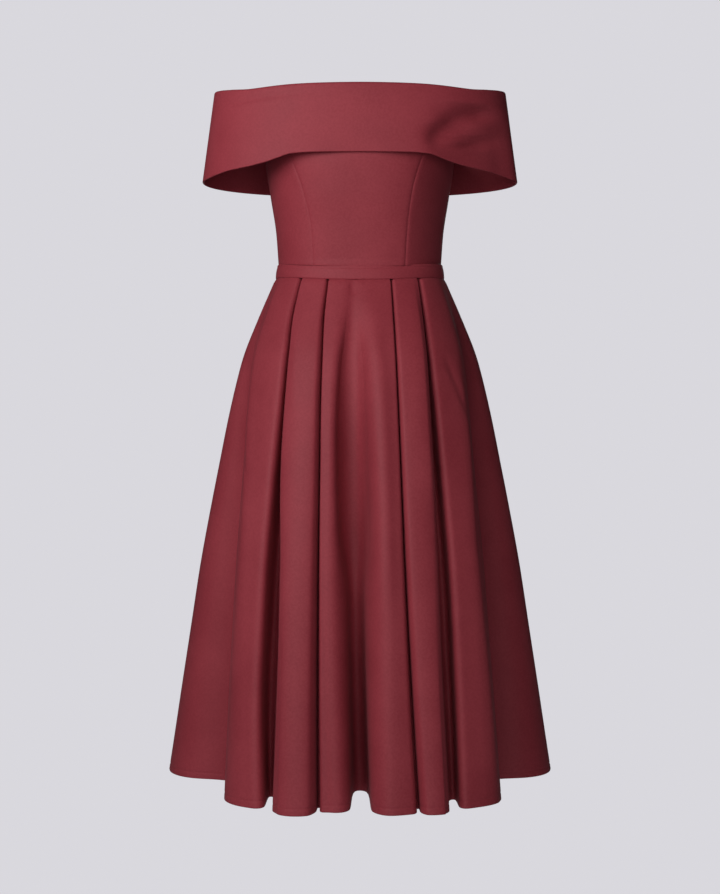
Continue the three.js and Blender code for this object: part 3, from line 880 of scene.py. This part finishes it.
# %% Folds in front
front_drops = [0, 60, 120, 200, 280, 430, 600, skirt_length]
front_folds = [
    {
        "from": -90,
        "to": [-66, -62.5, -58, -52.5, -48, -42.5, -38.4, -34.5],
        "depth": [0.5, 6, 13, 26, 39, 58, 77, 93],
        "bottom": [12, 17, 22, 29, 36, 46, 54, 60],
        "first_share": 0.55,
        "steepness": [30, 32, 35, 42, 48, 54, 60, 65],
    },
    {
        "from": [-42.2, -40.0, -36.1, -34.2, -33.5, -32.0, -30.0, -26.3],
        "to": [-41.2, -38.5, -34.5, -32.6, -31.2, -27.1, -25.1, -24.1],
        "depth": [13, 22, 31, 42, 56, 74, 84, 84],
        "rolls": ((9, 22), (2, 8)),
        "puff": 20,
    },
    {
        "from": [-20.7, -19.6, -17.6, -16.4, -15.3, -13.9, -12.7, -11.5],
        "to": [-20.0, -18.7, -16.9, -15.8, -14.8, -13.3, -12.0, -10.8],
        "depth": [9, 15, 17, 19, 22, 25, 28, 30],
        "rolls": ((6, 13), (2, 8)),
        "puff": 2,
        "back": 15,
    },
    {
        "from": [-10, -11.6, -12.2, -12.0, -11.6, -11.0, -9.4, -7.6],
        "to": [5.5, 7, 8.1, 8.8, 9, 9.2, 8.6, 8],
        "depth": [1.2, 5, 11, 25, 41, 69, 106, 144],
        "bottom": [4, 7, 9, 11, 12, 12, 12, 13],
        "first_share": [0.40, 0.40, 0.42, 0.44, 0.45, 0.46, 0.48, 0.50],
        "steepness": [30, 36, 42, 54, 60, 66, 80, 90],
        "straight": 1,
        "puff": 5,
    },
    {
        "from": [19.4, 17.2, 15.8, 15.1, 14.8, 14.3, 14.6, 15.3],
        "to": [20.1, 18.1, 16.5, 15.7, 15.3, 14.9, 15.3, 16.0],
        "depth": [9, 15, 17, 19, 22, 25, 28, 30],
        "rolls": ((2, 8), (6, 13)),
        "puff": 10,
        "back": -6,
    },
    {
        "from": [40.6, 35.3, 31.9, 29.6, 28.3, 26.4, 25.1, 24.6],
        "to": [41.6, 37.0, 33.7, 32.3, 31.6, 30.6, 29.0, 27.4],
        "depth": [12, 21, 28, 36, 45, 56, 64, 68],
        "rolls": ((2, 8), (9, 20)),
        "puff": 4,
    },
    {
        "from": [61, 56.5, 52, 48, 45, 41.5, 38.8, 36.5],
        "to": 90,
        "depth": [0.5, 7, 15, 28, 41, 62, 81, 98],
        "bottom": [12, 17, 22, 29, 36, 46, 54, 60],
        "first_share": 0.45,
        "steepness": [30, 38, 45, 52, 57, 62, 66, 70],
    },
]
print("folds in front:", len(front_folds))

# %% Folds at the back
back_drops = [0, 120, 320, skirt_length]
back_left_folds = [
    {
        "from": 90,
        "to": [115, 121, 133, 141],
        "depth": [0.5, 12, 42, 84],
        "bottom": [12, 22, 38, 52],
        "first_share": 0.58,
        "steepness": [30, 40, 55, 65],
        "puff": 8,
    },
    {
        "from": [134.2, 141.7, 143.5, 151.6],
        "to": [135.4, 144.1, 147.9, 154.0],
        "depth": [6, 17, 40, 64],
        "rolls": ((3, 20), (2, 8)),
        "puff": 7,
    },
    {
        "from": [156.4, 160.8, 164.1, 167.5],
        "to": [157.0, 161.6, 165.0, 168.3],
        "depth": [6, 9.5, 20, 38],
        "rolls": ((3, 13), (2, 8)),
    },
]
back_right_folds = [
    {
        "from": [202.0, 197.9, 196.1, 193.0],
        "to": [202.6, 198.7, 197.0, 193.8],
        "depth": [6, 9.5, 19, 34],
        "rolls": ((2, 8), (3, 13)),
        "puff": 8,
    },
    {
        "from": [224.0, 215.9, 212.1, 207.5],
        "to": [225.2, 218.3, 216.5, 209.9],
        "depth": [6, 17, 42, 66],
        "rolls": ((2, 8), (3, 20)),
        "puff": 7,
    },
    {
        "from": [244, 238, 228, 220],
        "to": 270,
        "depth": [0.5, 13, 44, 88],
        "bottom": [12, 22, 36, 50],
        "first_share": 0.40,
        "steepness": [30, 40, 55, 65],
    },
]
print("folds at the back:", len(back_left_folds), "on the left and", len(back_right_folds), "on the right")

# %% [markdown]
# Seen end on, a fold is two rolled sides and a floor. A pressed side turns in a few
# millimetres, a soft one over most of the fold. Where the fold is deep, a straight wall joins
# the roll to the floor.

# %% One fold seen end on
steepest_roll = 1.2
roll_steps, floor_steps = 12, 4


def rolled(share, across, down, turn):
    whole = math.radians(turn)
    bend = whole * np.asarray(share)
    return across * np.sin(bend) / math.sin(whole), down * (1 - np.cos(bend)) / (1 - math.cos(whole))


def fold_section(width, rolls, bottom, depth, turn):
    """The fold as distances along the skirt's line and in from it. bottom is half the floor's width."""
    halves = []
    for roll in rolls:
        rise = min(depth * bottom / (bottom + roll), steepest_roll * bottom)
        fall = min(steepest_roll * roll, depth - rise)
        side, side_in = rolled(np.linspace(0, 1, roll_steps + 1), roll, fall, turn)
        floor_along, floor_in = rolled(np.linspace(1, 0, floor_steps + 1), bottom, rise, turn)
        along = np.concatenate([side, roll + bottom - floor_along])
        halves.append((along, np.concatenate([side_in, depth - floor_in])))
    (left, left_in), (right, right_in) = halves
    along = np.concatenate([left, (width - right)[::-1][1:]])
    return along, np.concatenate([left_in, right_in[::-1][1:]])


taken_up = np.hypot(*np.diff(fold_section(30, (10, 10), 5, 60, 90))).sum()
print("a fold 30 mm wide and 60 mm deep takes up", round(float(taken_up)), "mm of cloth")

# %% The skirt's line at one depth
crest_points = 9
waist_forward = 0.7  # 0 lets a fold at the waist run in towards the middle, 1 straight back
widest_side = skirt_table["side"][-1]


def skirt_plan(drop):
    side = float(smooth_through(skirt_table["drop"], skirt_table["side"], drop))
    waist_side = skirt_table["side"][0]
    fullness = (side - waist_side) / (widest_side - waist_side)
    plan = {end: lerp(*depths, fullness) for end, depths in skirt_depths.items()}
    return {**plan, "side": side, "power": lerp(waistband_plan["power"], 2, fullness)}


def skirt_line(folds, fold_drops, drop, start, stop):
    """Points and angles of the skirt's folded line at one depth below the waist."""
    plan = skirt_plan(drop)
    fall = drop / skirt_length
    parts = []
    floors, puffs = [start], [0.0]

    def at(values):
        return float(smooth_through(fold_drops, values, drop)) if isinstance(values, list) else values

    def add(angle, inward, straight=0.0):
        parts.append(np.stack(np.broadcast_arrays(angle, inward, straight)))

    reached, back = start, 0.0
    for i, fold in enumerate(folds):
        first, last = at(fold["from"]), at(fold["to"])
        a_millimetre = float(degrees_for(1, (first + last) / 2, plan))
        if "rolls" in fold:
            rolls = [lerp(*ends, fall) for ends in fold["rolls"]]
            bottom, turn = (last - first) / a_millimetre / 2, 90
            first, last = first - rolls[0] * a_millimetre, last + rolls[1] * a_millimetre
        first, last = max(first, start), min(last, stop)
        width = (last - first) / a_millimetre
        if "first_share" in fold:
            bottom, turn, share = at(fold["bottom"]), at(fold["steepness"]), at(fold["first_share"])
            rolls = [(width - 2 * bottom) * share, (width - 2 * bottom) * (1 - share)]
        if first > reached:
            add(np.linspace(reached, first, crest_points + 2)[0 if i == 0 else 1 : -1], fall * back)
        along, inward = fold_section(width, rolls, bottom, at(fold["depth"]), turn)
        share, back_after = along / width, fold.get("back", 0)
        straight = fold.get("straight", 1 if "rolls" in fold else 0)
        add(lerp(first, last, share), inward + fall * lerp(back, back_after, share), straight)
        floors.append(first + (rolls[0] + bottom) * a_millimetre)
        puffs.append(fold.get("puff", 0))
        reached, back = last, back_after
    if reached < stop:
        add(np.linspace(reached, stop, crest_points + 2)[1:], fall * back)
    angles, inward, straight = np.concatenate(parts, 1)
    floors.append(stop)
    tube = np.clip(np.searchsorted(floors, angles) - 1, 0, len(puffs) - 1)
    across = (angles - np.take(floors, tube)) / np.maximum(np.diff(floors), 1e-6)[tube]
    inward = inward - fall * np.take(puffs, tube) * 4 * across * (1 - across)
    points = plan_point(angles, plan)
    forward = straight * lerp(waist_forward, 1, float(smoothstep(fall, 0, 1)))
    focus = points * np.stack([forward, np.zeros(len(points))], -1)
    return points + unit(focus - points) * inward[:, None], angles


front_line, _ = skirt_line(front_folds, front_drops, skirt_length, -90, 90)
hem_cloth = np.linalg.norm(np.diff(front_line, axis=0), axis=-1).sum()
hem_room = length_round(skirt_plan(skirt_length)) / 2
print("front hem:", round(float(hem_cloth)), "mm of cloth over", round(hem_room), "mm of its oval")

# %% [markdown]
# The line is worked out at many depths and the rows are stacked. A few passes that pull each
# point towards the middle of its neighbours take out the corners where one part of a fold
# meets the next. The points lie close together at a pressed edge and far apart in a soft fold,
# so the pressed edges stay crisp. Creases that are not folds of the cut come last, with the
# hem's faint line, which is where the turned-up edge ends inside.

# %% Skirt rows and creases
row_stretches = table("from to rows", (0, 26.25, 8), (30, 742, 104), (743.5, skirt_length, 13))
skirt_rows = np.concatenate([np.linspace(row["from"], row["to"], row["rows"]) for row in row_stretches])
easing = 4
hem_line = {"above": 8.5, "depth": 0.55, "reach": 1.1}
pull_in = {"depth": 1.4, "reach": 4}  # how far the seam under the waistband draws the cloth in
crease_fades = (0.3, 0.85, 1.1)
usual_angle = 45

# line is the angle of a crease at the depths below the waist in at, and its widths are millimetres
crease_columns = "at line depth before after"
front_creases = table(
    crease_columns,
    ([190, 317, 423, 558, 727, 770], [-63.5, -60.3, -57, -56, -54.5, -54.5], -4.0, 7, 18),
    ([110, 249, 396, 520], [-62, -51.2, -44.6, -42], -1.6, 9, 14),
    ([243, 310], [-58.3, -47], 1.4, 4, 8),
    ([60, 151, 249, 423, 617, 770], [59, 50.2, 47.1, 41.7, 41.2, 40.4], -4.2, 24, 8),
    ([120, 215], [41.5, 49], 1.8, 3, 8),
    ([0, 24], [-4.7, -4.5], 1.3, 4, 6),
    ([22, 66, 125, 209, 314, 440], [-2.4, -3.2, -4.7, -5.3, -4.2, -2.3], 12, 12, 21),
    ([18, 94, 182, 289, 494], [4.5, 6.7, 8.5, 8.7, 7.5], -2.4, 14, 10),
    ([60, 210], [-33.5, -27], -1.3, 8, 9),
    ([-20, 40, 120, 200, 330], [38, 33.5, 29.4, 27.4, 25.8], -4.5, 24, 5),
)
back_creases = table(
    crease_columns,
    ([150, 330, 560, 770], [122, 118, 116, 116], -3.0, 16, 5),
    ([60, 200, 420, 640], [172, 174, 175, 175], 2.4, 14, 14),
    ([80, 240, 470, 700], [188, 186, 185, 184], 1.8, 12, 16),
    ([170, 350, 580, 770], [236, 241, 243, 244], -2.6, 5, 15),
)
print("rows of the skirt:", len(skirt_rows))

# %% Skirt pieces


def eased(grid, passes):
    """The grid with its rows' corners taken out."""
    for _ in range(passes):
        inside = grid[:, 1:-1] + 0.5 * ((grid[:, :-2] + grid[:, 2:]) / 2 - grid[:, 1:-1])
        grid = np.concatenate([grid[:, :1], inside, grid[:, -1:]], 1)
    return grid


def skirt_grid(folds, fold_drops, start, stop, creases):
    """Outer face of a skirt piece between two of its seams."""
    rows, row_angles = [], []
    for drop in skirt_rows[::-1]:
        line, angles = skirt_line(folds, fold_drops, drop, *trimmed(start, stop, skirt_plan(drop)))
        dip = dip_at(angles) * (1 - smoothstep(drop, 0, dip_fade))
        rows.append(np.concatenate([line, (-seam_gap - drop - dip)[:, None]], -1))
        row_angles.append(angles)
    grid, angles = eased(np.array(rows), easing), np.array(row_angles)
    drops = np.broadcast_to(skirt_rows[::-1][:, None], angles.shape)
    a_degree = [[1 / degrees_for(1, usual_angle, skirt_plan(drop))] for drop in skirt_rows[::-1]]
    from_line = skirt_length - drops - hem_line["above"]
    sunk = hem_line["depth"] * np.exp(-((from_line / hem_line["reach"]) ** 2))
    sunk = sunk + pull_in["depth"] * np.exp(-((drops / pull_in["reach"]) ** 2))
    for row in creases:
        off = (angles - smooth_through(row["at"], row["line"], drops)) * np.array(a_degree)
        sunk = sunk + crease_depth(row, drops, off, crease_fades)
    return grid - grid_normals(grid) * sunk[..., None]


for name, folds, fold_drops, start, stop, creases in (
    ("skirt_front", front_folds, front_drops, -90, 90, front_creases),
    ("skirt_back_left", back_left_folds, back_drops, 90, 180, back_creases),
    ("skirt_back_right", back_right_folds, back_drops, 180, 270, back_creases),
):
    piece = shell(name, skirt_grid(folds, fold_drops, start, stop, creases), cloth, crepe)
    sewn(piece, name)

# %% [markdown]
# ## The hidden zip
#
# The dress closes at centre back with a concealed zip. Its woven tape is sewn behind the seam and
# its coil of small teeth lies on the inside. Only the slider shows outside, high up under the
# band. The tape follows the inside of the back, so it is a wall of cloth like the other pieces.

# %% Zip tape sizes
tape = {"width": 22, "thickness": 1.0, "clear": 1.1}
tape_heights = [-178, -120, -60, 0, 19, 60, 123, 178, 215, 244]
tape_rows, tape_columns = 150, 17
# the fold of each tape beside the teeth stands up a little
tape_cord = {"beside": 3.4, "deep": 0.35, "reach": 1.6}

# %% Tape and coil recipes


def tape_material(name, colour, shade):
    """Dull woven tape with a herringbone along its length."""
    recipe = Recipe(bpy.data.materials.new(name))
    along, up = recipe.cut_map()
    stripe_pitch, thread_pitch, slant = 0.0044, 0.0009, 0.0007
    chevron = (along * (2 * math.pi / stripe_pitch)).sine() * slant
    weave = (up + chevron).wave(thread_pitch)
    worn = recipe.noise(60, 3)
    tone = worn.band(0.3, 0.7) * 0.5 + weave * 0.5
    sockets = {
        "Base Color": recipe.mix(tone, shade, colour),
        "Roughness": worn * 0.1 + 0.75,
        "Normal": recipe.bump(0.4, 0.00015, weave),
        "Specular IOR Level": 0.2,
        "Sheen Weight": 0.05,
    }
    return recipe.principled(sockets)


def enamel_material(name, colour, shade, roughness):
    """Smooth enamel or nylon, dyed to match, a little duller where it is handled."""
    recipe = Recipe(bpy.data.materials.new(name))
    handled, grain = recipe.noise(240, 3), recipe.noise(2600, 2)
    sockets = {
        "Base Color": recipe.mix(handled.band(0.35, 0.65), shade, colour),
        "Roughness": handled * 0.18 + (roughness - 0.09),
        "Normal": recipe.bump(0.15, 0.00005, grain),
        "Coat Weight": 0.15,
    }
    return recipe.principled(sockets)


zip_dye, zip_dye_shade = (0.155, 0.024, 0.036, 1), (0.110, 0.016, 0.025, 1)
woven_tape = tape_material("zip_tape_weave", zip_dye, zip_dye_shade)
coil_nylon = enamel_material("zip_coil", zip_dye, zip_dye_shade, roughness=0.45)
slider_enamel = enamel_material("zip_enamel", zip_dye, zip_dye_shade, roughness=0.32)

# %% Zip tape


def tape_line(height):
    """The tape's outer line at one height, a little behind the cloth."""
    above = height > waistband_height
    plan = bodice_plan(height) if above else skirt_plan(max(-height, 0))
    inset = (cloth if above else waistband_thickness) + tape["clear"]
    half = float(degrees_for(tape["width"] / 2, 180, plan))
    angles = np.linspace(180 - half, 180 + half, tape_columns)
    return plan_point(angles, plan) - outward(angles, plan) * inset


tape_lines = np.array([tape_line(height) for height in tape_heights])
fine_heights = np.linspace(tape_heights[0], tape_heights[-1], tape_rows)
tape_grid = np.empty((tape_rows, tape_columns, 3))
tape_grid[..., 2] = fine_heights[:, None]
for column in range(tape_columns):
    for k in (0, 1):
        tape_grid[:, column, k] = smooth_through(tape_heights, tape_lines[:, column, k], fine_heights)
tape_out = grid_normals(tape_grid)
beside = np.abs(tape_grid[..., 0]) - tape_cord["beside"]
cord = tape_cord["deep"] * np.exp(-((beside / tape_cord["reach"]) ** 2))
tape_inside = tape_grid - tape_out * tape["thickness"]
tape_inside -= tape_out * cord[..., None]
zip_tape = cloth_wall("zip_tape", tape_grid, tape_inside, woven_tape)
sewn(zip_tape, "zip_tape")

# %% [markdown]
# The teeth of a coil zip are turns of one stiff thread, laid across the gap by turns from the
# left and from the right. An Array modifier could repeat a tooth, but each has to follow the
# curve of the back, so a loop sets them along the inside of the tape as short round bars.

# %% Zip teeth
tooth = {"pitch": 1.5, "radius": 0.5, "half": 1.7, "shift": 0.55, "sunk": 0.7, "sides": 8}
coil = {"low": -168, "high": 236}
# shares of a tooth's half length and of its radius, from end to end
tooth_profile = {"reach": [-1, -0.86, -0.6, 0.6, 0.86, 1], "girth": [0.35, 0.85, 1, 1, 0.85, 0.35]}


def zip_piece(name, points, faces, material):
    """A hard piece of the zip."""
    piece = smooth_piece(name, points, faces, material)
    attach(piece, "root")
    return piece


tooth_points, tooth_faces = [], []
middle_column = tape_columns // 2
round_tooth = [2 * math.pi * k / tooth["sides"] for k in range(tooth["sides"])]
for i, height in enumerate(np.arange(coil["low"], coil["high"], tooth["pitch"])):
    face_depth = np.interp(height, fine_heights, tape_inside[:, middle_column, 1])
    depth = face_depth - tooth["radius"] * tooth["sunk"]
    side = tooth["shift"] if i % 2 else -tooth["shift"]
    rings = []
    for reach, girth in zip(tooth_profile["reach"], tooth_profile["girth"]):
        rings.append(range(len(tooth_points), len(tooth_points) + tooth["sides"]))
        x, radius = side + reach * tooth["half"], tooth["radius"] * girth
        for turn in round_tooth:
            tooth_points.append((x, depth + radius * math.cos(turn), height + radius * math.sin(turn)))
    for low, high in zip(rings, rings[1:]):
        tooth_faces += [(low[k], high[k], high[k - 1], low[k - 1]) for k in range(tooth["sides"])]
    tooth_faces += [tuple(rings[0]), tuple(rings[-1][::-1])]
zip_piece("zip_teeth", tooth_points, tooth_faces, coil_nylon)
print("teeth:", i + 1)

# %% [markdown]
# The slider's pull is a small drop of enamelled metal with a thumb hollow. It is made as rings of
# points round the drop's outline, drawn in towards the middle on both faces, so that its edge is
# rounded all the way round.

# %% Slider sizes
slider = {"radius": 3.0, "top_radius": 1.8, "length": 17, "thickness": 2.0, "top": 243, "sides": 48}
thumb = {"above": 1.2, "reach": 2.2, "deep": 0.45}
# shares of the outline and of the thickness, from the outer face's middle to the inner face's
slider_rings = {
    "outline": [0.06, 0.3, 0.55, 0.74, 0.86, 0.95, 1, 1, 0.95, 0.86, 0.6, 0.06],
    "through": [0, 0, 0, 0, 0.02, 0.12, 0.35, 0.65, 0.88, 0.98, 1, 1],
}
around = np.linspace(0, 2 * math.pi, slider["sides"], endpoint=False)
top_end = np.sin(around) > 0
radius = np.where(top_end, slider["top_radius"], slider["radius"])
centre = np.where(top_end, slider["length"] - slider["radius"] - slider["top_radius"], 0)
outline = np.stack([radius * np.cos(around), centre + radius * np.sin(around)], -1)
drop_middle = np.array([0, (slider["length"] - 2 * slider["radius"]) / 2])

# %% Zip slider
foot = slider["top"] - slider["length"]
foot_depth, top_depth = (float(bodice_point(180.0, height)[1]) for height in (foot, slider["top"]))
lean = math.atan2(top_depth - foot_depth, slider["length"])
rise = np.array([0, math.sin(lean), math.cos(lean)])
out = np.array([0, math.cos(lean), -math.sin(lean)])
pivot = np.array([0, foot_depth + slider["thickness"] + 2 * seam_gap, foot + slider["radius"]])

slider_points = []
for share, through in zip(slider_rings["outline"], slider_rings["through"]):
    ring = drop_middle + (outline - drop_middle) * share
    from_thumb = ((ring - [0, thumb["above"]]) / thumb["reach"]) ** 2
    hollow = thumb["deep"] * np.exp(-from_thumb.sum(-1)) * (through == 0)
    inward = through * slider["thickness"] + hollow
    slider_points.append(pivot + ring[:, :1] * [1, 0, 0] + ring[:, 1:] * rise - inward[:, None] * out)
sides, last_ring = slider["sides"], (len(slider_points) - 1) * slider["sides"]
slider_faces = [tuple(range(sides))[::-1], tuple(range(last_ring, last_ring + sides))]
for start in range(0, last_ring, sides):
    for a, b in zip(range(start, start + sides), [*range(start + 1, start + sides), start]):
        slider_faces.append((a, b, b + sides, a + sides))
zip_slider = zip_piece("zip_slider_pull", np.concatenate(slider_points), slider_faces, slider_enamel)
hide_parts("zip_slider")
print("slider leans", round(math.degrees(lean), 1), "degrees")
